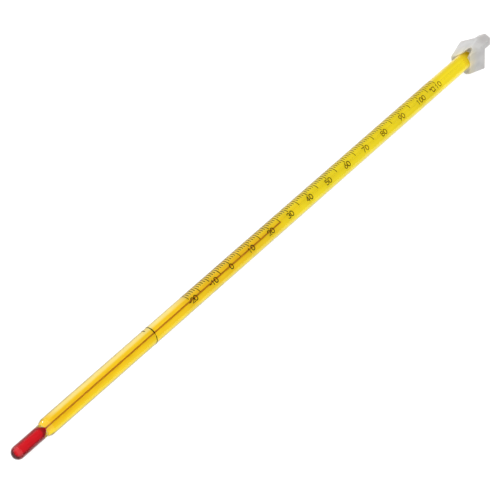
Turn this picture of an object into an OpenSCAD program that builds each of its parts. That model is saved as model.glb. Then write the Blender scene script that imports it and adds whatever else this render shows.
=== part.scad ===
// Spirit-in-glass laboratory thermometer with a yellow-backed solid stem and an anti-roll cap.
// It lies along X on the flat foot of its cap: bulb at -X, cap at +X, scale facing up.
// Distances called "at" are measured from the tip of the bulb.

/* [Stem] */
// Whole length, from the tip of the bulb to the end of the cap's lug
overall_len = 305; // [300:1:320]
// Outer diameter of the stem
stem_d = 7; // [6.6:0.1:7]
// Diameter of the hair-fine bore
bore_d = 0.4; // [0.3:0.05:0.6]
// Diameter of the stem's end inside the cap
seat_d = 6.6; // [6.2:0.1:6.6]

/* [Bulb] */
// Outer diameter of the bulb
bulb_d = 5.3; // [5:0.1:5.6]
// Thickness of the bulb's wall
bulb_wall = 0.45; // [0.3:0.05:0.6]
// Where the bulb is fused to the stem
neck_at = 15.8; // [15.6:0.1:16]
// Length of the rounded shoulder that leads up to the full stem
shoulder_len = 2.8; // [2:0.1:4]
// Where the reservoir starts to narrow to the bore
taper_at = 13.4; // [13:0.1:15]
// Where the reservoir has narrowed to the bore
taper_end_at = 17; // [16.8:0.1:18]

/* [Yellow backing] */
// Width of the enamel ribbon behind the bore
backing_w = 5.2; // [4:0.1:5.4]
// Thickness of the ribbon
backing_t = 0.5; // [0.3:0.1:0.6]
// Distance from the bore's axis to the front of the ribbon
backing_depth = 1; // [0.8:0.1:1.2]

/* [Scale] */
// Lowest marked temperature, in degrees Celsius
t_min = -20; // [-20:10:0]
// Highest marked temperature, in degrees Celsius
t_max = 110; // [60:10:110]
// Place of the zero line
zero_at = 122.8; // [120:0.1:125]
// Length of the first degree above zero
degree_len = 1.263; // [1.2:0.001:1.27]
// Growth of each degree's length, which follows the spirit's expansion
degree_growth = 0.0004; // [0:0.00001:0.0005]
// Temperature that the thread shows
reading = 26.6; // [20:0.1:40]
// Width of a division line
line_w = 0.34; // [0.15:0.01:0.36]
// How far the scale is turned about the stem from the cap's ridge, towards -Y
scale_turn = 5; // [0:1:15]
// Thickness of the fired ink
ink_t = 0.025; // [0.02:0.005:0.04]
// Height of a numeral, between the middles of its strokes
digit_h = 2.05; // [1.6:0.05:2.4]
// Width of a numeral's stroke
stroke_w = 0.4; // [0.2:0.02:0.44]

/* [Immersion ring] */
// Place of the ring where it crosses the scale side
ring_at = 76.2; // [60:0.1:80]
// How far the hand-drawn ring drifts along the stem in one turn
ring_drift = 2.45; // [0:0.05:4]
// Width of the ring's line
ring_w = 0.45; // [0.2:0.05:0.6]

/* [Cap] */
// Length of the cap's body, without its lug
cap_len = 10.3; // [9.5:0.1:13]
// Length of the lug
lug_len = 4.4; // [2:0.1:5]
// Half-width of the flat foot at the small front end
foot_front = 4.1; // [3.6:0.1:4.4]
// Half-width of the flat foot at the large back end
foot_back = 6.7; // [5:0.1:7]
// Half-width between the side faces, carried down to the foot, at the front end
side_front = 6.8; // [6.6:0.1:7.2]
// Half-width between the side faces, carried down to the foot, at the back end
side_back = 8.9; // [8:0.1:9.4]
// How much the side faces lean in, as run over rise
side_lean = 0.565; // [0.45:0.005:0.58]
// How much the foot's bevels lean out, as run over rise
bevel_lean = 0.77; // [0.6:0.01:1]
// How far the middle of the large back end is set over from the bore, towards +Y
back_shift = 0.6; // [0:0.1:0.8]
// Height of the stem's axis above the cap's foot
axis_h = 4.3; // [4.2:0.1:5]
// Height of the ridge above the stem's axis at the front end
ridge_front = 6.2; // [5:0.1:6.4]
// Height of the ridge above the stem's axis at the back end
ridge_back = 7.6; // [7:0.1:8]
// Length of the slot in the ridge
slot_len = 3.6; // [2.5:0.1:4]
// Width of the slot at the front end
slot_w = 3.9; // [2.4:0.1:4]
// Width of the slot's round inner end
slot_tip_w = 2.2; // [1:0.1:2.4]
// How far the middle of the slot is set over from the bore, towards +Y
slot_shift = 1.2; // [0:0.1:1.3]
// Thickness of the lug
lug_t = 2.8; // [1.5:0.1:4.5]
// How much narrower the lug gets towards its end, on each side
lug_taper = 0.4; // [0:0.1:1.5]
// How far the middle of the lug's end is set over from its root, towards -Y
lug_shift = 0.4; // [0:0.1:0.4]
// Thickness of the wall behind the stem's end
cap_end_wall = 1.8; // [1:0.1:3]
// Gap between the stem and the cap's bore
cap_fit = 0.04; // [0.02:0.01:0.08]
// Diameter of the countersunk mouth of the cap's bore
mouth_d = 7.6; // [7:0.1:7.8]

/* [Hidden] */
$fn = 64;

stem_r = stem_d / 2;
seat_r = seat_d / 2;
bore_r = bore_d / 2;
bulb_r = bulb_d / 2;
reservoir_r = bulb_r - bulb_wall;
neck_bore_r = bore_r + (reservoir_r - bore_r) * (taper_end_at - neck_at) / (taper_end_at - taper_at);
shoulder_steps = 6;

cap_at = overall_len - lug_len - cap_len;
cap_end_at = cap_at + cap_len;
mouth_len = 0.8;
lug_set_in = 0.1;
// The foot's back end is set over the other way, so that both sides are widest equally far out
foot_shift = back_shift * bevel_lean / side_lean;
stem_end_at = cap_end_at - cap_end_wall;
stem_end_bevel = 0.6;

// The chamber that takes the spirit if the thermometer is overheated, hidden under the cap
chamber_at = cap_at + slot_len + 1.4;
chamber_len = 2.9;
chamber_r = 0.6;

// The top of the thread is the part that moves; it runs in the bore with a running gap
head_len = 10;
head_gap = 0.02;
reading_at = scale_at(reading);
head_at = reading_at - head_len;

// Angles round the stem, from straight up (0) towards +Y
line_start = 92;
degree_end = 28;
five_end = -2;
ten_end = 10;
numeral_mid = -10;
ink_gap = 0.005;
ink_r = stem_r + ink_gap;

digit_w = 0.7 * digit_h;
digit_pitch = digit_w + 0.5;
signed_pitch = digit_w + 0.3;
signed_shift = 1.2;
hundred_shift = 1.1;
top_shift = -0.2;
unit_at = scale_at(t_max) - 3.9;

ring_stretches = 3;
ring_turns_from = -319;
ring_turns_to = 96;
ring_hair = 0.3;

function scale_at(t) = zero_at + degree_len * t + degree_growth * t * t;

// Puts what is drawn along X from the bulb's tip in its place above the ground
module on_axis(turn = 0) {
    translate([-overall_len / 2, 0, axis_h]) rotate([turn, 0, 0]) children();
}

// Turns a profile of (radius, distance) points about the stem's axis
module turned(points) {
    rotate([0, 90, 0]) rotate_extrude() polygon(points);
}

module ribbon(extra = 0) {
    half_w = backing_w / 2;
    translate([0, 0, -backing_depth - backing_t])
        linear_extrude(backing_t)
            polygon([
                [neck_at + 0.8, -0.65 * half_w], [neck_at + shoulder_len, -half_w],
                [stem_end_at + extra, -half_w], [stem_end_at + extra, half_w],
                [neck_at + shoulder_len, half_w], [neck_at + 0.8, 0.65 * half_w]
            ]);
}

module bore_space() {
    past = 1;
    turned([
        [0, neck_at - past],
        [neck_bore_r + past * (reservoir_r - bore_r) / (taper_end_at - taper_at), neck_at - past],
        [bore_r, taper_end_at], [bore_r, chamber_at], [chamber_r, chamber_at + 1],
        [chamber_r, chamber_at + chamber_len - 1], [0, chamber_at + chamber_len]
    ]);
}

module stem_glass() {
    shoulder = [for (i = [0:shoulder_steps]) [
        bulb_r + (stem_r - bulb_r) * sin(90 * i / shoulder_steps),
        neck_at + shoulder_len * i / shoulder_steps
    ]];
    color([0.86, 0.92, 0.9, 0.35]) on_axis(scale_turn) difference() {
        turned(concat([[0, neck_at]], shoulder, [
            [stem_r, cap_at], [seat_r, cap_at], [seat_r, stem_end_at - stem_end_bevel],
            [seat_r - stem_end_bevel, stem_end_at], [0, stem_end_at]
        ]));
        bore_space();
        ribbon(extra = 1);
    }
}

module yellow_backing() {
    color([0.96, 0.8, 0.08]) on_axis(scale_turn) ribbon();
}

// A round-tipped rod of radius r from x = start to x = end
module round_tip(r, start, end) {
    translate([start + r, 0, 0]) {
        sphere(r);
        rotate([0, 90, 0]) cylinder(h = end - start - r, r = r);
    }
}

module bulb_glass() {
    color([0.86, 0.92, 0.9, 0.35]) on_axis() difference() {
        round_tip(bulb_r, 0, neck_at);
        round_tip(reservoir_r, bulb_wall, taper_at);
        turned([
            [0, taper_at], [reservoir_r, taper_at], [neck_bore_r, neck_at],
            [neck_bore_r, neck_at + 1], [0, neck_at + 1]
        ]);
    }
}

module bulb_spirit() {
    color([0.8, 0.05, 0.12]) on_axis() {
        round_tip(reservoir_r, bulb_wall, taper_at);
        turned([[0, taper_at], [reservoir_r, taper_at], [bore_r, taper_end_at], [0, taper_end_at]]);
    }
}

module spirit_column() {
    color([0.75, 0.08, 0.05]) on_axis()
        translate([taper_end_at, 0, 0])
            rotate([0, 90, 0]) cylinder(h = head_at - taper_end_at, r = bore_r);
}

module thread_head() {
    color([0.75, 0.08, 0.05]) on_axis()
        translate([head_at, 0, 0])
            rotate([0, 90, 0]) cylinder(h = head_len, r = bore_r - head_gap);
}

// An ink line round the stem at x, from angle a to angle b
module ink_arc(x, w, a, b) {
    rotate([0, 90, 0]) rotate([0, 0, 180 - b])
        rotate_extrude(angle = b - a)
            translate([ink_r, x - w / 2]) square([ink_t, w]);
}

module degree_lines() {
    color([0.2, 0.13, 0.05]) on_axis(scale_turn)
        for (t = [t_min:t_max])
            if (t % 5 != 0) ink_arc(scale_at(t), line_w, degree_end, line_start);
}

module five_degree_lines() {
    color([0.2, 0.13, 0.05]) on_axis(scale_turn)
        for (t = [t_min + 5:10:t_max]) ink_arc(scale_at(t), line_w, five_end, line_start);
}

module ten_degree_lines() {
    color([0.2, 0.13, 0.05]) on_axis(scale_turn)
        for (t = [t_min:10:t_max]) ink_arc(scale_at(t), line_w, ten_end, line_start);
}

// A point of the hand-drawn ring at angle a, which drifts along the stem like a thread
function ring_point(a) = [ring_at + ring_drift * a / 360, ink_r * sin(a), ink_r * cos(a)];

// One stretch of the ring from angle a to angle b, cut flat through three of its points
module ring_stretch(a, b) {
    middle = ring_point((a + b) / 2);
    across = cross(ring_point(b) - middle, ring_point(a) - middle);
    normal = unit(across * sign(across[0]));
    intersection() {
        ink_arc(middle[0], 2 * abs(ring_drift) + 2 * ring_w, a, b);
        translate(middle) rotate([0, -asin(normal[2]), atan2(normal[1], normal[0])])
            cube([ring_w, 4 * stem_d, 4 * stem_d], center = true);
    }
}

// The stretches end a hair short of each other, so that each is a solid of its own
module immersion_ring() {
    step = (ring_turns_to - ring_turns_from) / ring_stretches;
    color([0.25, 0.16, 0.05]) on_axis(scale_turn)
        for (i = [0:ring_stretches - 1])
            ring_stretch(ring_turns_from + i * step, ring_turns_from + (i + 1) * step - ring_hair);
}

function unit(v) = v / norm(v);
function left_of(v) = [-v[1], v[0]];
function arc(c, rx, ry, a, b, n = 6) = [
    for (i = [0:n]) [c[0] + rx * cos(a + (b - a) * i / n), c[1] + ry * sin(a + (b - a) * i / n)]
];

// The mitre at the corner where direction d turns to direction e, cut short at a sharp corner
function mitre(d, e) = let (m = left_of(d) + left_of(e)) 2 * m / max(m * m, 1.2);

// The directions of an open path's stretches, with the first and last doubled for its ends
function run(p, i) = unit(p[min(i + 1, len(p) - 1)] - p[min(i, len(p) - 2)]);

// A stroke of the pen along an open path
module stroke(p) {
    last = len(p) - 1;
    side = [for (i = [0:last]) mitre(run(p, max(i - 1, 0)), run(p, i)) * stroke_w / 2];
    polygon(concat([for (i = [0:last]) p[i] + side[i]], [for (i = [last:-1:0]) p[i] - side[i]]));
}

// A stroke round a closed path, drawn anticlockwise
module loop(p) {
    n = len(p);
    side = [for (i = [0:n - 1])
        mitre(unit(p[i] - p[(i + n - 1) % n]), unit(p[(i + 1) % n] - p[i])) * stroke_w / 2];
    difference() {
        polygon([for (i = [0:n - 1]) p[i] - side[i]]);
        polygon([for (i = [0:n - 1]) p[i] + side[i]]);
    }
}

// A numeral drawn in the box from (0, 0) to (digit_w, digit_h); "-" and "C" are drawn too
module glyph(s) {
    w = digit_w;
    h = digit_h;
    r = w / 2;
    if (s == "0") loop(concat(arc([r, h - r], r, r, 0, 180), arc([r, r], r, r, 180, 360)));
    if (s == "1") stroke([[0.2 * w, 0.75 * h], [r, h], [r, 0]]);
    if (s == "2") stroke(concat(arc([r, h - r], r, r, 170, -30), [[0, 0], [w, 0]]));
    if (s == "3") {
        stroke(arc([r, 0.74 * h], 0.9 * r, 0.26 * h, 155, -85));
        stroke(arc([r, 0.27 * h], r, 0.27 * h, 85, -155));
    }
    if (s == "4") {
        stroke([[0.72 * w, 0], [0.72 * w, h]]);
        stroke([[0.72 * w, h], [0, 0.3 * h], [w, 0.3 * h]]);
    }
    if (s == "5")
        stroke(concat([[0.92 * w, h], [0.16 * w, h], [0.08 * w, 0.54 * h]],
            arc([0.46 * w, 0.32 * h], 0.54 * w, 0.32 * h, 105, -150)));
    if (s == "6" || s == "9")
        translate(s == "6" ? [0, 0] : [w, h]) rotate(s == "6" ? 0 : 180)
            stroke(concat([[0.78 * w, h]], arc([r, 0.31 * h], r, 0.31 * h, 165, 435, 9)));
    if (s == "7") stroke([[0, h], [w, h], [0.3 * w, 0]]);
    if (s == "8") {
        loop(arc([r, 0.75 * h], 0.9 * r, 0.25 * h, 0, 330, 11));
        loop(arc([r, 0.27 * h], r, 0.27 * h, 0, 330, 11));
    }
    if (s == "-") stroke([[0.3 * w, h / 2], [0.95 * w, h / 2]]);
    if (s == "C") stroke(concat(arc([r, h - r], r, r, 30, 180), arc([r, r], r, r, 180, 330)));
}

// Lays a flat glyph on the stem, with its left edge at x and its top towards the lines
module on_stem(x) {
    intersection() {
        rotate([-numeral_mid, 0, 0])
            translate([x, -digit_h / 2, stem_r / 2]) linear_extrude(stem_r) children();
        translate([x - 1, 0, 0]) rotate([0, 90, 0]) difference() {
            cylinder(h = digit_w + 2, r = ink_r + ink_t);
            translate([0, 0, -1]) cylinder(h = digit_w + 4, r = ink_r);
        }
    }
}

module number(t) {
    word = str(t);
    pitch = t < 0 ? signed_pitch : digit_pitch;
    wide = (len(word) - 1) * pitch + digit_w;
    shift = t < 0 ? signed_shift : t == 100 ? hundred_shift : t == 110 ? top_shift : 0;
    for (i = [0:len(word) - 1])
        on_stem(scale_at(t) + shift - wide / 2 + i * pitch) glyph(word[i]);
}

module scale_numerals() {
    color([0.2, 0.13, 0.05]) on_axis(scale_turn)
        for (t = [t_min:10:t_max]) number(t);
}

module unit_mark() {
    color([0.2, 0.13, 0.05]) on_axis(scale_turn) {
        on_stem(unit_at - 1.4) loop(arc([digit_w / 2, digit_h - 0.28], 0.28, 0.28, 0, 330, 11));
        on_stem(unit_at) glyph("C");
    }
}

// Takes off everything outside a sloping face that starts at x = at, half_w from the middle at
// foot level, opens out by taper along X and leans in by lean upwards
module side_cut(at, half_w, taper, lean) {
    yaw = atan(taper);
    pitch = atan(lean * cos(yaw));
    translate([at, half_w, -axis_h])
        rotate([pitch, 0, yaw]) translate([-20, 0, -20]) cube([60, 20, 60]);
}

// Everything above the sloping ridge
module ridge_cut() {
    slope = atan((ridge_back - ridge_front) / cap_len);
    translate([cap_at, 0, ridge_front])
        rotate([0, -slope, 0]) translate([-20, -20, 0]) cube([60, 40, 20]);
}

module slot_space() {
    tip_r = slot_tip_w / 2;
    tip_at = cap_at + slot_len - tip_r;
    translate([0, slot_shift, 0]) linear_extrude(ridge_back + 5) {
        polygon([
            [cap_at - 1, -slot_w / 2], [tip_at, -tip_r], [tip_at, tip_r], [cap_at - 1, slot_w / 2]
        ]);
        translate([tip_at, 0]) circle(tip_r);
    }
}

// The sign of side 0 (+Y) or side 1 (-Y)
function towards(side) = side == 0 ? 1 : -1;

// The lug carries on the ridge behind the body, with sides that close in towards its end
module lug() {
    half_w = side_back + back_shift;
    difference() {
        translate([cap_end_at - 2 * lug_set_in, -half_w, ridge_back - lug_t])
            cube([lug_len + 2 * lug_set_in, 2 * half_w, lug_t]);
        for (side = [0, 1]) mirror([0, side, 0])
            side_cut(cap_end_at, side_back + towards(side) * back_shift - lug_set_in,
                -(lug_taper + towards(side) * lug_shift) / lug_len, side_lean);
    }
}

module cap_body() {
    half_w = side_back + back_shift;
    difference() {
        translate([cap_at, -half_w, -axis_h]) cube([cap_len, 2 * half_w, axis_h + ridge_back]);
        for (side = [0, 1]) mirror([0, side, 0]) {
            side_cut(cap_at, side_front,
                (side_back + towards(side) * back_shift - side_front) / cap_len, side_lean);
            side_cut(cap_at, foot_front,
                (foot_back - towards(side) * foot_shift - foot_front) / cap_len, -bevel_lean);
        }
        ridge_cut();
    }
}

module anti_roll_cap() {
    hole_r = seat_r + cap_fit;
    color([0.9, 0.89, 0.88]) on_axis() difference() {
        union() {
            cap_body();
            lug();
        }
        turned([
            [0, cap_at - 1], [mouth_d / 2, cap_at - 1], [mouth_d / 2, cap_at],
            [hole_r, cap_at + mouth_len], [hole_r, stem_end_at], [0, stem_end_at]
        ]);
        slot_space();
    }
}

stem_glass();
yellow_backing();
bulb_glass();
bulb_spirit();
spirit_column();
thread_head();
degree_lines();
five_degree_lines();
ten_degree_lines();
scale_numerals();
unit_mark();
immersion_ring();
anti_roll_cap();
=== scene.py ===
"""Looks of the glass thermometer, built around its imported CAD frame.

Sizes are in millimetres, and MM turns them into Blender's metres. Places along the stem are
distances from the tip of the bulb. Only the studio, meaning the floor, the lamps and the camera's
distance, is in metres, and noise scales are in lumps to the metre.
"""
import math

import bmesh
import bpy
from mathutils import Matrix, Vector


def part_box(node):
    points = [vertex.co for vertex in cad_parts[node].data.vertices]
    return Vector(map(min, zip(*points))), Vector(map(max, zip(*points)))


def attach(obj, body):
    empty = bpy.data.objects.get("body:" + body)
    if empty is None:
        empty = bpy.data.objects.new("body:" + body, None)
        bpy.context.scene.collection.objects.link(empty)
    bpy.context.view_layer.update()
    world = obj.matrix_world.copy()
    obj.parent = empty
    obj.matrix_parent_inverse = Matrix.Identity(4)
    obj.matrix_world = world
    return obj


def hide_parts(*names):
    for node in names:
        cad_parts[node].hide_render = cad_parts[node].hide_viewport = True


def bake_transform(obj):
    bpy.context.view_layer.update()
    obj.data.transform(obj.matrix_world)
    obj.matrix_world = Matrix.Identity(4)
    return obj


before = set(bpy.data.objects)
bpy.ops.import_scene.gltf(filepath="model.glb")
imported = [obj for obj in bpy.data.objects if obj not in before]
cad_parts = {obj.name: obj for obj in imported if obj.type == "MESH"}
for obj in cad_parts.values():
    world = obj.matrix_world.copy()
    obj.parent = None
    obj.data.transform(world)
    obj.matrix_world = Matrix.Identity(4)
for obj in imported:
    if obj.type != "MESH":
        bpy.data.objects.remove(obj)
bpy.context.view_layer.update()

MM = 0.001
FIXED, THREAD, CAP = "thermometer", "thread", "cap"

# Where things are, read from the CAD nodes
bulb_low, bulb_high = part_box("bulb_glass")
stem_low, stem_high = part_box("stem_glass")
ribbon_low, ribbon_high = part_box("yellow_backing")
spirit_low, spirit_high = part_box("bulb_spirit")
column_low, column_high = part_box("spirit_column")
head_low, head_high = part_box("thread_head")
cap_low, cap_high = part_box("anti_roll_cap")


def from_tip(corner):
    """How far the corner of a box is from the tip of the bulb, along the stem."""
    return (corner.x - bulb_low.x) / MM


def half_width(low, high):
    return (high.y - low.y) / 2 / MM


AXIS_Y = (stem_low.y + stem_high.y) / 2
AXIS_Z = (bulb_low.z + bulb_high.z) / 2
STEM_R = half_width(stem_low, stem_high)
BULB_R = half_width(bulb_low, bulb_high)
SPIRIT_R = half_width(spirit_low, spirit_high)
BORE_R = half_width(column_low, column_high)
HEAD_R = half_width(head_low, head_high)
NECK_AT = from_tip(bulb_high)
STEM_END = from_tip(stem_high)
SPIRIT_AT = from_tip(spirit_low)
RIBBON_FROM, RIBBON_TO = from_tip(ribbon_low), from_tip(ribbon_high)
HEAD_AT, READING_AT = from_tip(head_low), from_tip(head_high)
CAP_AT, CAP_END = from_tip(cap_low), from_tip(cap_high)
CAP_TOP = (cap_high.z - AXIS_Z) / MM
FOOT_Z = (cap_low.z - AXIS_Z) / MM

# Sizes repeated from part.scad, because no node's box gives them. Angles round the stem are in
# degrees, from the scale's own up (0) towards +Y.
SCALE_TURN = 5
SEAT_R = 3.3
SHOULDER_LEN = 2.8
TAPER_AT, TAPER_END = 13.4, 17.0
CHAMBER_AT, CHAMBER_LEN, CHAMBER_R = CAP_AT + 5.0, 2.9, 0.6
RIBBON_W, RIBBON_T, RIBBON_DEPTH = 5.2, 0.5, 1.0
T_MIN, T_MAX = -20, 110
ZERO_AT, DEGREE_LEN, DEGREE_GROWTH = 122.8, 1.263, 0.0004
LINE_W, LINE_START, DEGREE_END, FIVE_END, TEN_END = 0.34, 92, 28, -2, 10
DIGIT_H, STROKE_W, NUMERAL_MID = 2.05, 0.4, -10
DIGIT_W = 0.7 * DIGIT_H
DIGIT_PITCH, SIGNED_PITCH = DIGIT_W + 0.5, DIGIT_W + 0.3
SIGNED_SHIFT, HUNDRED_SHIFT, TOP_SHIFT = 1.2, 1.1, -0.2
UNIT_BACK, DEGREE_SIGN_BACK, DEGREE_SIGN_R = 3.9, 1.4, 0.28
RING_AT, RING_DRIFT, RING_W, RING_FROM, RING_TO = 76.2, 2.45, 0.45, -319, 96

# How high above the glass the ink's underside and top lie
INK_LOW, INK_HIGH = 0.004, 0.03


def scale_at(t):
    """Where the line for t degrees is."""
    return ZERO_AT + DEGREE_LEN * t + DEGREE_GROWTH * t * t


def place(s, y, z):
    """A point s along the stem and (y, z) off its axis, in the row frame."""
    return Vector((bulb_low.x + s * MM, AXIS_Y + y * MM, AXIS_Z + z * MM))


def x_at(s):
    return place(s, 0, 0).x


def round_stem(s, radius, degrees):
    """A point at that radius and angle round the stem."""
    a = math.radians(degrees - SCALE_TURN)
    return place(s, radius * math.sin(a), radius * math.cos(a))


def place_turned(s, y, z):
    """Like place, but turned with the scale."""
    return round_stem(s, math.hypot(y, z), math.degrees(math.atan2(y, z)))


# ---------------------------------------------------------------- outlines and meshes

# A smaller radius than this counts as a pole of a turned surface
POLE_R = 1e-6


def arc(cx, cy, rx, ry, start, end, steps=14):
    """Points round (cx, cy), from angle start to end in degrees."""
    angles = [math.radians(start + (end - start) * i / steps) for i in range(steps + 1)]
    return [(cx + rx * math.cos(a), cy + ry * math.sin(a)) for a in angles]


def dome(centre, radius, start, end, steps):
    """The profile of a rounded end; 180 degrees is its pole towards the bulb, and 0 the other."""
    points = arc(centre, 0, radius, radius, start, end, steps)
    return [(s, 0 if r < POLE_R else r) for s, r in points]


def finish_piece(bm, name, material, body, nodes, smooth=True):
    """Turns a bmesh into a piece that rides on a body and stands for CAD nodes."""
    mesh = bpy.data.meshes.new(name)
    bm.to_mesh(mesh)
    bm.free()
    for polygon in mesh.polygons:
        polygon.use_smooth = smooth
    obj = bpy.data.objects.new(name, mesh)
    bpy.context.scene.collection.objects.link(obj)
    obj.data.materials.append(material)
    if body:
        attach(obj, body)
    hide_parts(*nodes)
    return obj


def add_lathe(bm, profile, segments, inward=False):
    """Adds the closed surface that (distance, radius) points sweep round the axis; radius 0 is a pole."""
    rings = []
    for s, r in profile:
        turns = [360 * i / segments for i in range(segments)] if r else [0]
        rings.append([bm.verts.new(round_stem(s, r, a)) for a in turns])
    faces = []
    for a, b in zip(rings, rings[1:]):
        for i in range(segments):
            j = (i + 1) % segments
            corners = [a[i % len(a)], a[j % len(a)], b[j % len(b)], b[i % len(b)]]
            faces.append(bm.faces.new(list(dict.fromkeys(corners))))
    bmesh.ops.recalc_face_normals(bm, faces=faces)
    if inward:
        bmesh.ops.reverse_faces(bm, faces=faces)


def add_tube(bm, rings):
    """Adds the closed surface through rings of as many vertices each, with a flat end at both."""
    faces = [bm.faces.new(rings[0]), bm.faces.new(rings[-1][::-1])]
    for a, b in zip(rings, rings[1:]):
        for i in range(len(a)):
            j = (i + 1) % len(a)
            faces.append(bm.faces.new([a[i], b[i], b[j], a[j]]))
    bmesh.ops.recalc_face_normals(bm, faces=faces)


# ---------------------------------------------------------------- materials

# The colour sockets of a Mix node, which share their names with its other sockets
MIX_A, MIX_B, MIX_RESULT = 6, 7, 2


class Nodes:
    """A node tree, with short ways to add and join nodes."""

    def __init__(self, tree):
        self.tree = tree

    def put(self, value, socket):
        """Joins another node's output to a socket, or sets the socket to a plain value."""
        if isinstance(value, bpy.types.NodeSocket):
            self.tree.links.new(value, socket)
        else:
            socket.default_value = value

    def add(self, kind, inputs=None, **settings):
        made = self.tree.nodes.new(kind)
        for key, value in settings.items():
            setattr(made, key, value)
        for key, value in (inputs or {}).items():
            self.put(value, made.inputs[key])
        return made

    def math(self, operation, a, b=0.0):
        return self.add("ShaderNodeMath", {0: a, 1: b}, operation=operation).outputs[0]

    def product(self, first, *others):
        for other in others:
            first = self.math("MULTIPLY", first, other)
        return first

    def between(self, value, low, high, to_low=0.0, to_high=1.0):
        """Smooth step from to_low, where value is low, to to_high, where it is high."""
        ends = {"From Min": low, "From Max": high, "To Min": to_low, "To Max": to_high}
        made = self.add("ShaderNodeMapRange", {"Value": value, **ends}, interpolation_type="SMOOTHSTEP")
        return made.outputs[0]


class Shader(Nodes):
    """A material with a Principled shader, whose inputs are named with _ for each space."""

    def __init__(self, name, **values):
        self.material = bpy.data.materials.new(name)
        self.material.use_nodes = True
        super().__init__(self.material.node_tree)
        self.main = self.tree.nodes["Principled BSDF"]
        for key, value in values.items():
            self.main.inputs[key.replace("_", " ")].default_value = value

    def link(self, socket, name):
        self.tree.links.new(socket, self.main.inputs[name])

    def coordinates(self, scale):
        """Object coordinates in metres, multiplied by scale."""
        object_place = self.add("ShaderNodeTexCoord").outputs["Object"]
        return self.add("ShaderNodeMapping", {"Vector": object_place, "Scale": scale}).outputs[0]

    def axis(self, index):
        """One object coordinate, in metres."""
        return self.add("ShaderNodeSeparateXYZ", {0: self.coordinates((1, 1, 1))}).outputs[index]

    def step_along(self, start, end, to_low=0.0, to_high=1.0):
        """Smooth step between two distances along the stem."""
        return self.between(self.axis(0), x_at(start), x_at(end), to_low, to_high)

    def facing(self, direction):
        """How much the surface faces in a direction, up to 1."""
        normal = self.add("ShaderNodeNewGeometry").outputs["Normal"]
        made = self.add("ShaderNodeVectorMath", {0: normal, 1: direction}, operation="DOT_PRODUCT")
        return made.outputs["Value"]

    def noise(self, scale, detail=3.0, roughness=0.5):
        """Noise with scale lumps to the metre along each axis."""
        inputs = {"Vector": self.coordinates(scale), "Scale": 1.0, "Detail": detail, "Roughness": roughness}
        return self.add("ShaderNodeTexNoise", inputs).outputs[0]

    def mix(self, factor, a, b):
        """From a to b as factor goes from 0 to 1; each is a socket or a red, green, blue tuple."""
        made = self.add("ShaderNodeMix", {"Factor": factor}, data_type="RGBA")
        for value, index in ((a, MIX_A), (b, MIX_B)):
            self.put((*value, 1.0) if isinstance(value, tuple) else value, made.inputs[index])
        return made.outputs[MIX_RESULT]

    def bump(self, height, distance, strength):
        inputs = {"Height": height, "Distance": distance * MM, "Strength": strength}
        self.link(self.add("ShaderNodeBump", inputs).outputs[0], "Normal")


def glass_material(name, ior):
    """Clear glass with faint waves drawn out along the stem."""
    sh = Shader(name, Base_Color=(1, 1, 1, 1), Roughness=0.0, IOR=ior, Transmission_Weight=1.0,
                Specular_Tint=(0.4, 0.4, 0.4, 1))
    sh.bump(sh.noise((6, 500, 500), 1.0), 0.01, 0.05)
    return sh.material


def enamel_material():
    """Enamel that goes from golden near the bulb to lemon near the cap, with a painted highlight, painted
    shade at its sides and a painted glow inside the cap.
    """
    golden_end, lemon_start, cloud_drift = 132.5, 197.5, 20 * MM
    sh = Shader("yellow_enamel", Roughness=0.4, Specular_IOR_Level=0.1,
                Emission_Color=(0.75, 0.47, 0.008, 1))
    streaks = sh.noise((9, 1500, 1500), 3.0, 0.6)
    streaky = sh.between(streaks, 0.3, 0.7)
    golden = sh.mix(streaky, (0.93, 0.56, 0.003), (0.96, 0.66, 0.009))
    lemon = sh.mix(streaky, (0.83, 0.64, 0.004), (0.88, 0.71, 0.014))
    clouds = sh.noise((60, 300, 300), 2.0)
    cloudy_x = sh.math("ADD", sh.axis(0), sh.math("MULTIPLY", clouds, cloud_drift))
    colour = sh.mix(sh.between(cloudy_x, x_at(golden_end), x_at(lemon_start)), golden, lemon)

    # Painted highlight: a pale streak towards +Y, which fades as the scale begins; and painted light that
    # makes the half towards -Y paler
    ribbon_y = RIBBON_DEPTH * math.sin(math.radians(SCALE_TURN)) * MM + AXIS_Y
    sideways = sh.math("SUBTRACT", sh.axis(1), ribbon_y)
    painted_highlight_streak = sh.product(sh.between(sideways, 0.75 * MM, 1.2 * MM),
                        sh.between(sideways, 1.55 * MM, 1.85 * MM, 1.0, 0.0),
                        sh.step_along(84.5, 107.5, 1.0, 0.25), sh.step_along(19.5, 25.5),
                        sh.between(streaks, 0.25, 0.6, 0.5, 1.0))
    colour = sh.mix(painted_highlight_streak, colour, (0.97, 0.80, 0.24))
    # Painted light: the half towards -Y is painted paler
    painted_light_half = sh.between(sideways, -0.4 * MM, -1.3 * MM, 0.0, 0.55)
    colour = sh.mix(painted_light_half, colour, (0.95, 0.79, 0.006))
    # Painted shade: the ribbon's sides are painted dark brown
    edges = sh.between(sh.math("ABSOLUTE", sideways), 1.48 * MM, 1.92 * MM)
    sh.link(sh.mix(edges, colour, (0.26, 0.19, 0.008)), "Base Color")

    # Painted glow: the enamel inside the cap gives off light of its own, standing in for the light that the
    # milky cap lets through
    painted_glow = sh.product(sh.step_along(CAP_AT - 1.5, CAP_AT + 1.5, 0.0, 0.34),
                        sh.step_along(CAP_AT + 2, CAP_AT + 6, 1.0, 0.45))
    sh.link(painted_glow, "Emission Strength")
    return sh.material


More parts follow.
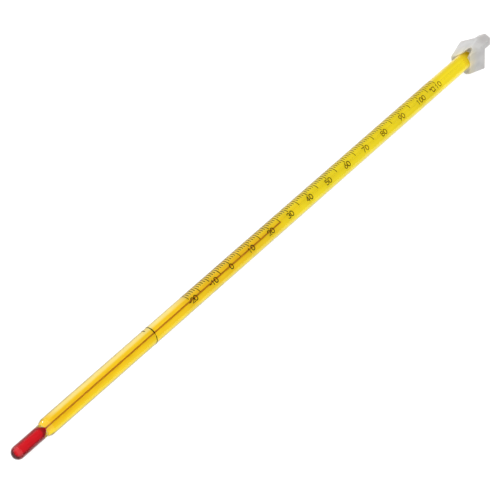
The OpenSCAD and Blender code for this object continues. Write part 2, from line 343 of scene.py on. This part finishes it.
def spirit_material(name, red, shade_maroon, tip):
    """Dyed spirit with painted light and shade: painted bright where it faces the light, painted maroon
    shade round its sides and painted darkest shade at the tip.
    """
    sh = Shader(name, Roughness=0.3, Specular_IOR_Level=0.05)
    turn = math.radians(SCALE_TURN)
    # Painted light: how much the surface faces up and towards the bulb sets how lit it is painted
    lit = sh.facing((-0.3, -0.9 * math.sin(turn), 0.9 * math.cos(turn)))
    swirl = sh.math("SUBTRACT", sh.noise((150, 400, 400), 3.0), 0.5)
    lit = sh.math("ADD", lit, sh.math("MULTIPLY", swirl, 0.2))
    # Painted shade: maroon round the sides, darkest where the surface faces the tip
    sides = sh.mix(sh.between(sh.facing((-1, 0, 0)), 0.35, 0.85), shade_maroon, tip)
    sh.link(sh.mix(sh.between(lit, 0.5, 0.8), sides, red), "Base Color")
    return sh.material


def ink_material():
    """Fired ink, nearly black at the low end of the scale and worn to brown at its top."""
    sh = Shader("fired_ink", Roughness=0.6, Specular_IOR_Level=0.0)
    grain = sh.noise((4000, 4000, 4000), 4.0, 0.6)
    worn = sh.step_along(122.5, 272.5)
    dark = sh.mix(worn, (0.016, 0.006, 0.001), (0.115, 0.052, 0.002))
    pale = sh.mix(worn, (0.040, 0.018, 0.003), (0.25, 0.135, 0.006))
    sh.link(sh.mix(sh.between(grain, 0.48, 0.75), dark, pale), "Base Color")
    sh.bump(grain, 0.004, 0.5)
    return sh.material


def cap_material():
    """Milky plastic, with painted yellow light from the enamel near its mouth and painted shade towards the
    lug.
    """
    sh = Shader("cap_plastic", Roughness=0.42, Subsurface_Weight=0.6, Subsurface_Scale=3 * MM,
                Subsurface_Radius=(1.0, 0.9, 0.8), Specular_IOR_Level=0.35,
                Emission_Color=(0.7, 0.5, 0.08, 1))
    cloud = sh.noise((260, 260, 260), 3.0)
    milky = sh.mix(sh.between(cloud, 0.3, 0.7), (0.32, 0.315, 0.31), (0.38, 0.375, 0.37))
    # Painted shade: darker towards the lug end
    painted_shade_to_lug = sh.step_along(CAP_AT + 6, CAP_AT + 13, 0.0, 0.7)
    milky = sh.mix(painted_shade_to_lug, milky, (0.305, 0.295, 0.295))
    # Painted light: yellow light from the enamel, painted near the mouth
    mouth = sh.step_along(CAP_AT, CAP_AT + 6, 0.75, 0.0)
    sh.link(sh.mix(mouth, milky, (0.38, 0.35, 0.24)), "Base Color")

    # Painted glow: plastic near the axis gives off light of its own, standing in for the light that soaks
    # in; the back face shows it too
    off_axis = [sh.math("SUBTRACT", sh.axis(1), AXIS_Y), sh.math("SUBTRACT", sh.axis(2), AXIS_Z)]
    squares = [sh.math("MULTIPLY", part, part) for part in off_axis]
    from_axis = sh.math("SQRT", sh.math("ADD", *squares))
    sh.link(sh.between(from_axis, 3.5 * MM, 4.6 * MM, 0.22, 0.0), "Emission Strength")
    fine = sh.noise((3500, 3500, 3500), 3.0)
    sh.bump(sh.math("ADD", sh.math("MULTIPLY", cloud, 3.0), fine), 0.01, 0.35)
    return sh.material


GLASS = glass_material("clear_glass", 1.5)
# The empty bore hardly shows, so its wall bends light far less than a real air gap would
BORE_WALL = glass_material("bore_wall", 1.04)
ENAMEL = enamel_material()
BULB_RED = spirit_material("bulb_red", (0.66, 0.006, 0.014), (0.27, 0.003, 0.008), (0.08, 0.001, 0.004))
THREAD_RED = spirit_material("thread_red", (0.48, 0.18, 0.001), (0.36, 0.12, 0.001), (0.36, 0.12, 0.001))
INK = ink_material()
CAP_PLASTIC = cap_material()


# ---------------------------------------------------------------- glass, enamel and spirit

# Points this close to an edge keep the smooth shading beside it flat
HOLD = 0.2


def shoulder_profile(start, steps=18):
    """The drawn-in neck, from the bulb at start to the full stem."""
    points = []
    for i in range(1, steps):
        u = i / steps
        eased = 0.6 * u + 0.4 * u * u * (3 - 2 * u)
        radius = BULB_R + (STEM_R - BULB_R) * math.sin(math.pi / 2 * eased)
        points.append((start + (NECK_AT + SHOULDER_LEN - start) * u, radius))
    return points


def glass_profile():
    """The outside of the glass, from the tip of the bulb to the stem's end inside the cap."""
    chamfer, end_round, end_flat_r = 0.02, 0.7, 1.0
    straight_at, shoulder_at = NECK_AT + SHOULDER_LEN, NECK_AT - 0.3
    bulb = dome(BULB_R, BULB_R, 180, 90, 24) + [(shoulder_at - HOLD, BULB_R), (shoulder_at, BULB_R)]
    stem = [(straight_at, STEM_R), (straight_at + HOLD, STEM_R), (CAP_AT - HOLD, STEM_R),
            (CAP_AT - chamfer, STEM_R), (CAP_AT, STEM_R - chamfer)]
    seat = [(CAP_AT, SEAT_R + chamfer), (CAP_AT + chamfer, SEAT_R), (CAP_AT + HOLD, SEAT_R),
            (STEM_END - end_round - HOLD / 2, SEAT_R)]
    rounded = arc(STEM_END - end_round, SEAT_R - end_round, end_round, end_round, 90, 0, 6)
    end = [(STEM_END, end_flat_r), (STEM_END, 0)]
    return bulb + shoulder_profile(shoulder_at) + stem + seat + rounded + end


def air_profile():
    """The empty bore above the thread and the small chamber at its end."""
    start, chamber_end = READING_AT + 0.02, CHAMBER_AT + CHAMBER_LEN
    bore = [(start, 0), (start, 0.8 * BORE_R), (READING_AT + 0.1, BORE_R), (READING_AT + 0.3, BORE_R),
            (CHAMBER_AT - 0.3, BORE_R), (CHAMBER_AT, BORE_R)]
    chamber = [(CHAMBER_AT + 0.5, 0.7 * CHAMBER_R), (CHAMBER_AT + 1, CHAMBER_R),
               (chamber_end - 1, CHAMBER_R), (chamber_end - 0.4, 0.7 * CHAMBER_R), (chamber_end, 0)]
    return bore + chamber


def make_glass():
    bm = bmesh.new()
    add_lathe(bm, glass_profile(), 128)
    outer_faces = len(bm.faces)
    add_lathe(bm, air_profile(), 32, inward=True)
    bm.faces.ensure_lookup_table()
    for face in bm.faces[outer_faces:]:
        face.material_index = 1
    glass = finish_piece(bm, "thermometer_glass", GLASS, FIXED, ["stem_glass", "bulb_glass"])
    glass.data.materials.append(BORE_WALL)


def make_ribbon():
    """The enamel ribbon, which has round edges and narrows towards the bulb."""
    edge_r, middle_z = RIBBON_T / 2, -RIBBON_DEPTH - RIBBON_T / 2
    edge_y = RIBBON_W / 2 - edge_r
    section = (arc(edge_y, middle_z, edge_r, edge_r, 90, -90, 8)
               + arc(-edge_y, middle_z, edge_r, edge_r, -90, -270, 8))
    narrowing = ((0, 0.62), (0.4, 0.74), (1.0, 0.88), (1.6, 0.96), (2.2, 1.0), (3.0, 1.0))
    stations = [(RIBBON_FROM + s, width) for s, width in narrowing]
    full_at, steps = stations[-1][0], 40
    run = RIBBON_TO - 0.05 - full_at
    stations += [(full_at + run * i / steps, 1.0) for i in range(1, steps + 1)]
    bm = bmesh.new()
    rings = [[bm.verts.new(place_turned(s, y * width, z)) for y, z in section] for s, width in stations]
    add_tube(bm, rings)
    finish_piece(bm, "enamel_ribbon", ENAMEL, FIXED, ["yellow_backing"])


def make_bulb_filling():
    """The spirit in the bulb, which narrows to the bore along an S-shaped taper."""
    taper = (1.0, 0.985, 0.93, 0.83, 0.69, 0.53, 0.38, 0.25, 0.14)
    profile = dome(SPIRIT_AT + SPIRIT_R, SPIRIT_R, 180, 90, 20)
    profile += [(TAPER_AT - 0.8 + 0.5 * i, part * SPIRIT_R) for i, part in enumerate(taper)]
    profile += [(TAPER_END, BORE_R), (TAPER_END + 0.3, BORE_R), (TAPER_END + 0.31, 0)]
    bm = bmesh.new()
    add_lathe(bm, profile, 96)
    finish_piece(bm, "bulb_filling", BULB_RED, FIXED, ["bulb_spirit"])


def make_thread():
    """The thread that stretches behind its moving top. Each end runs a little into its neighbour."""
    radius, overlap, steps = BORE_R - 0.002, 0.3, 130
    run = HEAD_AT - TAPER_END
    profile = [(TAPER_END + 0.2, 0), (TAPER_END + 0.2, radius)]
    profile += [(TAPER_END + overlap + run * i / steps, radius) for i in range(steps + 1)]
    profile += [(HEAD_AT + overlap + 0.01, 0)]
    bm = bmesh.new()
    add_lathe(bm, profile, 24)
    thread = finish_piece(bm, "spirit_thread", THREAD_RED, None, ["spirit_column"])
    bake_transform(thread)


def make_thread_top():
    """The moving top of the thread, with a round end."""
    bm = bmesh.new()
    add_lathe(bm, [(HEAD_AT, 0)] + [(HEAD_AT + i, HEAD_R) for i in range(10)]
              + dome(READING_AT - HEAD_R, HEAD_R, 90, 0, 8), 24)
    finish_piece(bm, "thread_top", THREAD_RED, THREAD, ["thread_head"])


# ---------------------------------------------------------------- fired ink

def add_ink(bm, rails, lift=0.0):
    """Adds a thin closed band of ink: rails are pairs of (distance, angle) on either side of its run."""
    low, high = STEM_R + INK_LOW, STEM_R + INK_HIGH + lift
    rings = []
    for p, q in rails:
        corners = zip((p, p, q, q), (low, high, high, low))
        rings.append([bm.verts.new(round_stem(s, radius, a)) for (s, a), radius in corners])
    add_tube(bm, rings)


def add_line(bm, s, end, steps=22):
    """A division line at s, from the angle end to LINE_START, with softly rounded ends."""
    half = LINE_W / 2
    tip = math.degrees(half / STEM_R)
    rounding = [(tip * (1 - u), math.sqrt(max(0.06, 1 - u * u))) for u in (1, 0.85, 0.5, 0)]
    stations = [(end + inset, part) for inset, part in rounding]
    stations += [(end + tip + (LINE_START - end - 2 * tip) * i / steps, 1.0) for i in range(1, steps)]
    stations += [(LINE_START - inset, part) for inset, part in reversed(rounding)]
    add_ink(bm, [((s - half * part, a), (s + half * part, a)) for a, part in stations])


def make_marks(name, node, temperatures, end):
    bm = bmesh.new()
    for t in temperatures:
        add_line(bm, scale_at(t), end)
    finish_piece(bm, name, INK, FIXED, [node], smooth=False)


def make_ring(steps=220):
    """The immersion ring, drawn by hand: the pen wavers, starts and ends softly and nearly skips once."""
    skip_at, skip_width = -20, 7
    rails = []
    for i in range(steps + 1):
        a = RING_FROM + (RING_TO - RING_FROM) * i / steps
        s = RING_AT + RING_DRIFT * a / 360
        waver = 1 + 0.14 * math.sin(math.radians(3.1 * a + 40)) + 0.08 * math.sin(math.radians(7.7 * a))
        pressure = min(1.0, 0.25 + i / 10, 0.25 + (steps - i) / 10)
        skip = 1 - 0.75 * math.exp(-((a - skip_at) / skip_width) ** 2)
        half = RING_W / 2 * waver * pressure * skip
        rails.append(((s - half, a), (s + half, a)))
    bm = bmesh.new()
    add_ink(bm, rails)
    finish_piece(bm, "ring_line", INK, FIXED, ["immersion_ring"], smooth=False)


def strokes(sign):
    """The pen strokes of a sign in a box DIGIT_W by DIGIT_H, each with whether it closes."""
    w, h, r = DIGIT_W, DIGIT_H, DIGIT_W / 2
    if sign == "0":
        return [(arc(r, h - r, r, r, 0, 180) + arc(r, r, r, r, 180, 360), True)]
    if sign == "1":
        return [([(0.2 * w, 0.75 * h), (r, h), (r, 0)], False)]
    if sign == "2":
        return [(arc(r, h - r, r, r, 170, -30) + [(0, 0), (w, 0)], False)]
    if sign == "3":
        return [(arc(r, 0.74 * h, 0.9 * r, 0.26 * h, 155, -85), False),
                (arc(r, 0.27 * h, r, 0.27 * h, 85, -155), False)]
    if sign == "4":
        return [([(0.72 * w, 0), (0.72 * w, h)], False),
                ([(0.72 * w, h), (0, 0.3 * h), (w, 0.3 * h)], False)]
    if sign == "5":
        return [([(0.92 * w, h), (0.16 * w, h), (0.08 * w, 0.54 * h)]
                 + arc(0.46 * w, 0.32 * h, 0.54 * w, 0.32 * h, 105, -150), False)]
    if sign in "69":
        path = [(0.78 * w, h)] + arc(r, 0.31 * h, r, 0.31 * h, 165, 435, 20)
        return [(path if sign == "6" else [(w - x, h - y) for x, y in path], False)]
    if sign == "7":
        return [([(0, h), (w, h), (0.3 * w, 0)], False)]
    if sign == "8":
        return [(arc(r, 0.75 * h, 0.9 * r, 0.25 * h, 0, 345, 23), True),
                (arc(r, 0.27 * h, r, 0.27 * h, 0, 345, 23), True)]
    if sign == "-":
        return [([(0.3 * w, h / 2), (0.95 * w, h / 2)], False)]
    if sign == "C":
        return [(arc(r, h - r, r, r, 30, 180)[:-1] + arc(r, r, r, r, 180, 330), False)]
    return [(arc(r, h - DEGREE_SIGN_R, DEGREE_SIGN_R, DEGREE_SIGN_R, 0, 345, 23), True)]


def stroke_points(path):
    """The path's points without those that nearly repeat the one before."""
    points = [Vector(path[0])]
    for p in path[1:]:
        if (Vector(p) - points[-1]).length > 0.01:
            points.append(Vector(p))
    return points


def round_end(p, across, outward):
    """Pairs of points that round off the end p of a stroke, from its full width outwards."""
    pairs = []
    for a in (18, 40, 62):
        tip = p + outward * STROKE_W / 2 * math.sin(math.radians(a))
        side = across * math.cos(math.radians(a))
        pairs.append((tip + side, tip - side))
    return pairs


def add_stroke(bm, path, closed, at, lift):
    """Lays one pen stroke on the stem, mitred at its corners; at is the left edge of its sign."""
    points = stroke_points(path)
    last = len(points) - 1
    steps = [(points[i + 1] - points[i]).normalized() for i in range(last)]
    closing = (points[0] - points[-1]).normalized()
    pairs = []
    for i, p in enumerate(points):
        before = steps[i - 1] if i else closing if closed else steps[0]
        after = steps[i] if i < last else closing if closed else steps[-1]
        mitre = Vector((-before.y - after.y, before.x + after.x))
        side = STROKE_W * mitre / max(mitre.dot(mitre), 1.2)
        pairs.append((p + side, p - side))
    if closed:
        pairs.append(pairs[0])
    else:
        start, end = [(pair[0] - pair[1]) / 2 for pair in (pairs[0], pairs[-1])]
        pairs = round_end(points[0], start, -steps[0])[::-1] + pairs + round_end(points[-1], end, steps[-1])

    def on_stem(p):
        return at + p.x, NUMERAL_MID + math.degrees((p.y - DIGIT_H / 2) / STEM_R)

    add_ink(bm, [(on_stem(a), on_stem(b)) for a, b in pairs], lift)


def add_sign(bm, sign, at):
    """Strokes that cross lie a hair above each other."""
    for i, (path, closed) in enumerate(strokes(sign)):
        add_stroke(bm, path, closed, at, 0.002 * i)


def make_numerals():
    bm = bmesh.new()
    for t in range(T_MIN, T_MAX + 1, 10):
        word = str(t)
        pitch = SIGNED_PITCH if t < 0 else DIGIT_PITCH
        width = (len(word) - 1) * pitch + DIGIT_W
        shift = {100: HUNDRED_SHIFT, 110: TOP_SHIFT}.get(t, SIGNED_SHIFT if t < 0 else 0)
        for i, sign in enumerate(word):
            add_sign(bm, sign, scale_at(t) + shift - width / 2 + i * pitch)
    finish_piece(bm, "numerals", INK, FIXED, ["scale_numerals"], smooth=False)


def make_unit():
    """The degrees Celsius mark."""
    unit_at = scale_at(T_MAX) - UNIT_BACK
    bm = bmesh.new()
    add_sign(bm, "degree", unit_at - DEGREE_SIGN_BACK)
    add_sign(bm, "C", unit_at)
    finish_piece(bm, "unit_letters", INK, FIXED, ["unit_mark"], smooth=False)


# ---------------------------------------------------------------- cap

# Sizes repeated from part.scad
CAP_LEN, LUG_T, LUG_TAPER, LUG_SHIFT = 10.3, 2.8, 0.4, 0.4
FOOT_FRONT, FOOT_BACK, BEVEL_LEAN = 4.1, 6.7, 0.77
SIDE_FRONT, SIDE_BACK, SIDE_LEAN, BACK_SHIFT = 6.8, 8.9, 0.565, 0.6
FOOT_SHIFT = BACK_SHIFT * BEVEL_LEAN / SIDE_LEAN
RIDGE_FRONT = 6.2
SLOT_LEN, SLOT_W, SLOT_TIP, SLOT_SHIFT = 3.6, 3.9, 2.2, 1.2
MOUTH_R, MOUTH_LEN, CAP_FIT = 3.8, 0.8, 0.04

# How far a shape that cuts the cap reaches past it
PAST = 1


def shell(bm, name):
    """A working mesh that is joined to the cap or cut out of it."""
    mesh = bpy.data.meshes.new(name)
    bmesh.ops.recalc_face_normals(bm, faces=bm.faces)
    bm.to_mesh(mesh)
    bm.free()
    obj = bpy.data.objects.new(name, mesh)
    bpy.context.scene.collection.objects.link(obj)
    return obj


def prism(front, back):
    """A block between two outlines of (distance, y, z) corners, given in the same order round."""
    bm = bmesh.new()
    a = [bm.verts.new(place(*p)) for p in front]
    b = [bm.verts.new(place(*p)) for p in back]
    bm.faces.new(a)
    bm.faces.new(b[::-1])
    for i in range(len(a)):
        j = (i + 1) % len(a)
        bm.faces.new([a[i], a[j], b[j], b[i]])
    return bm


def bevel(bm, edges, size, segments):
    bmesh.ops.bevel(bm, geom=edges, offset=size * MM, segments=segments, profile=0.5, affect="EDGES")


def two_sided(s, right, left):
    """A whole outline from the (half-width, height) points of its -Y side and of its +Y side."""
    return [(s, -y, z) for y, z in right] + [(s, y, z) for y, z in left[::-1]]


def body_side(foot, side, top):
    """One side of the body, from its foot out to the widest corner and up to the ridge."""
    corner = (side - foot) / (BEVEL_LEAN + SIDE_LEAN)
    return [(foot, FOOT_Z), (foot + BEVEL_LEAN * corner, FOOT_Z + corner),
            (side - SIDE_LEAN * (top - FOOT_Z), top)]


def body_outline(s, foot, side, top, foot_shift=0.0, side_shift=0.0):
    """The body's outline at s, with its foot set over towards -Y and its sides towards +Y."""
    return two_sided(s, body_side(foot + foot_shift, side - side_shift, top),
                     body_side(foot - foot_shift, side + side_shift, top))


def lug_outline(s, side, shift):
    """The lug's outline at s, a hair below the top of the CAD's cap."""
    top = CAP_TOP - 0.01
    right, left = [[(half - SIDE_LEAN * (z - FOOT_Z), z) for z in (top - LUG_T, top)]
                   for half in (side - shift, side + shift)]
    return two_sided(s, right, left)


def body_shell():
    bm = prism(body_outline(CAP_AT, FOOT_FRONT, SIDE_FRONT, RIDGE_FRONT),
               body_outline(CAP_AT + CAP_LEN, FOOT_BACK, SIDE_BACK, CAP_TOP, FOOT_SHIFT, BACK_SHIFT))
    bevel(bm, list(bm.edges), 0.4, 3)
    return shell(bm, "cap_shell")


def lug_shell():
    """The lug, which starts inside the body and is rounded at its far end."""
    root_in, root_inset, end_inset, sharp = 0.8, 0.3, 0.1, 0.7
    bm = prism(lug_outline(CAP_AT + CAP_LEN - root_in, SIDE_BACK - root_inset, BACK_SHIFT),
               lug_outline(CAP_END, SIDE_BACK - end_inset - LUG_TAPER, BACK_SHIFT - LUG_SHIFT))
    end_x = x_at(CAP_END - 0.5)
    at_end = [e for e in bm.edges if min(v.co.x for v in e.verts) > end_x]
    bevel(bm, [e for e in at_end if abs(e.verts[0].co.z - e.verts[1].co.z) > MM], 0.6, 4)
    reaches_end = [e for e in bm.edges if max(v.co.x for v in e.verts) > end_x]
    bevel(bm, [e for e in reaches_end if e.calc_face_angle(0) > sharp], 0.3, 2)
    return shell(bm, "lug_shell")


def bore_shell():
    """The countersunk bore that the stem sits in."""
    bore_r = SEAT_R + CAP_FIT
    bm = bmesh.new()
    add_lathe(bm, [(CAP_AT - PAST, 0), (CAP_AT - PAST, MOUTH_R), (CAP_AT, MOUTH_R),
                   (CAP_AT + MOUTH_LEN, bore_r), (STEM_END, bore_r), (STEM_END, 0)], 96)
    return shell(bm, "bore_shell")


def slot_shell():
    """The slot in the ridge, open at the front and round at its inner end."""
    tip_r = SLOT_TIP / 2
    outline = [(CAP_AT - PAST, SLOT_SHIFT - SLOT_W / 2)]
    outline += arc(CAP_AT + SLOT_LEN - tip_r, SLOT_SHIFT, tip_r, tip_r, -90, 90, 15)
    outline += [(CAP_AT - PAST, SLOT_SHIFT + SLOT_W / 2)]
    bm = prism([(s, y, 0) for s, y in outline], [(s, y, CAP_TOP + 3 * PAST) for s, y in outline])
    return shell(bm, "slot_shell")


def apply_modifiers(obj):
    graph = bpy.context.evaluated_depsgraph_get()
    made = bpy.data.meshes.new_from_object(obj.evaluated_get(graph))
    obj.modifiers.clear()
    obj.data = made


def combine(obj, other, operation):
    modifier = obj.modifiers.new(operation, "BOOLEAN")
    modifier.operation, modifier.solver, modifier.object = operation, "EXACT", other
    apply_modifiers(obj)
    bpy.data.objects.remove(other)


def soften_edges(obj):
    """Remeshes a moulding finely and smooths it, which gives every edge a small moulded radius."""
    remesh = obj.modifiers.new("remesh", "REMESH")
    remesh.mode, remesh.voxel_size = "VOXEL", 0.13 * MM
    soften = obj.modifiers.new("soften", "SMOOTH")
    soften.factor, soften.iterations = 0.5, 6
    apply_modifiers(obj)


def make_cap():
    """The moulded cap, kept within the box of the CAD's."""
    cap = body_shell()
    combine(cap, lug_shell(), "UNION")
    combine(cap, bore_shell(), "DIFFERENCE")
    combine(cap, slot_shell(), "DIFFERENCE")
    soften_edges(cap)
    bm = bmesh.new()
    bm.from_mesh(cap.data)
    bpy.data.objects.remove(cap)
    for v in bm.verts:
        v.co = Vector([min(max(c, least), most) for c, least, most in zip(v.co, cap_low, cap_high)])
    finish_piece(bm, "cap_body", CAP_PLASTIC, CAP, ["anti_roll_cap"])


# ---------------------------------------------------------------- floor, light and camera

# The lamps are square and point at the bulb
LAMP_SIZE, LAMP_POWER, LAMP_TARGET = 0.1, 1.6, Vector((-0.15, 0, 0))
FLOOR_R = 8.0
SENSOR_MM, LENS_MM, CAMERA_DISTANCE = 36, 152.136, 0.82


def make_floor():
    """White paper that gives off light, so that it stays white without lighting up the glass."""
    bm = bmesh.new()
    bmesh.ops.create_circle(bm, cap_ends=True, radius=FLOOR_R, segments=64)
    mesh = bpy.data.meshes.new("floor")
    bm.to_mesh(mesh)
    bm.free()
    floor = bpy.data.objects.new("floor", mesh)
    bpy.context.scene.collection.objects.link(floor)
    sh = Shader("floor_paper", Base_Color=(0.3, 0.3, 0.3, 1), Roughness=0.9, Specular_IOR_Level=0.1,
                Emission_Color=(1, 1, 1, 1), Emission_Strength=0.72)
    floor.data.materials.append(sh.material)


def make_world():
    """A pale room that is dim beyond the cap, with a bright window on the side where the lines start."""
    world = bpy.data.worlds.new("studio")
    bpy.context.scene.world = world
    world.use_nodes = True
    sky = Nodes(world.node_tree)
    direction = sky.add("ShaderNodeTexCoord").outputs["Generated"]
    x, y, z = sky.add("ShaderNodeSeparateXYZ", {0: direction}).outputs
    room = sky.product(sky.between(x, 0.32, 0.46, 2.1, 0.25), sky.between(x, -0.8, -0.6, 0.3, 1.0))
    window = sky.product(sky.between(y, 0.24, 0.53, 0.0, 0.6), sky.between(x, 0.52, 0.68, 1.0, 0.0),
                         sky.between(z, 0.55, 0.75, 1.0, 0.0))
    background = sky.tree.nodes["Background"]
    background.inputs["Color"].default_value = (1, 1, 1, 1)
    sky.put(sky.math("ADD", room, window), background.inputs["Strength"])


def add_lamp(name, location):
    lamp = bpy.data.lights.new(name, "AREA")
    lamp.shape, lamp.size, lamp.size_y, lamp.energy = "RECTANGLE", LAMP_SIZE, LAMP_SIZE, LAMP_POWER
    obj = bpy.data.objects.new(name, lamp)
    bpy.context.scene.collection.objects.link(obj)
    obj.location = location
    obj.rotation_mode = "QUATERNION"
    obj.rotation_quaternion = (LAMP_TARGET - Vector(location)).to_track_quat("-Z", "Y")


def make_camera():
    """Looks down the stem from the bulb's side, with the stem slanting up across the picture."""
    tilt = math.radians(37)
    lean = math.radians(4 + SCALE_TURN)
    slant = math.radians(41.2883)
    aim, aim_right, aim_up = place(138.695, 0, 0), 0.6714 * MM, 1.0517 * MM

    stem = Vector((1, 0, 0))
    facing = Vector((0, -math.sin(lean), math.cos(lean)))
    across = Vector((0, -math.cos(lean), -math.sin(lean)))
    stem_image = math.cos(tilt) * stem + math.sin(tilt) * facing
    looking = math.sin(tilt) * stem - math.cos(tilt) * facing
    right = math.cos(slant) * stem_image + math.sin(slant) * across
    up = math.sin(slant) * stem_image - math.cos(slant) * across

    data = bpy.data.cameras.new("camera")
    data.sensor_width, data.lens = SENSOR_MM, LENS_MM
    data.clip_start, data.clip_end = 0.05, 20
    camera = bpy.data.objects.new("camera", data)
    bpy.context.scene.collection.objects.link(camera)
    position = aim - CAMERA_DISTANCE * looking - aim_right * right - aim_up * up
    turn = Matrix((right, up, -looking)).transposed().to_4x4()
    camera.matrix_world = Matrix.Translation(position) @ turn
    bpy.context.scene.camera = camera


# ---------------------------------------------------------------- the whole scene

make_glass()
make_ribbon()
make_bulb_filling()
make_thread()
make_thread_top()
make_marks("degree_marks", "degree_lines", [t for t in range(T_MIN, T_MAX + 1) if t % 5], DEGREE_END)
make_marks("five_degree_marks", "five_degree_lines", range(T_MIN + 5, T_MAX, 10), FIVE_END)
make_marks("ten_degree_marks", "ten_degree_lines", range(T_MIN, T_MAX + 1, 10), TEN_END)
make_ring()
make_numerals()
make_unit()
make_cap()
make_floor()
bpy.context.scene.view_settings.view_transform = "Standard"
make_world()
add_lamp("side_lamp", (-0.25, 1.14, 0.36))
add_lamp("top_lamp", (0.09, 0.285, 1.14))
make_camera()
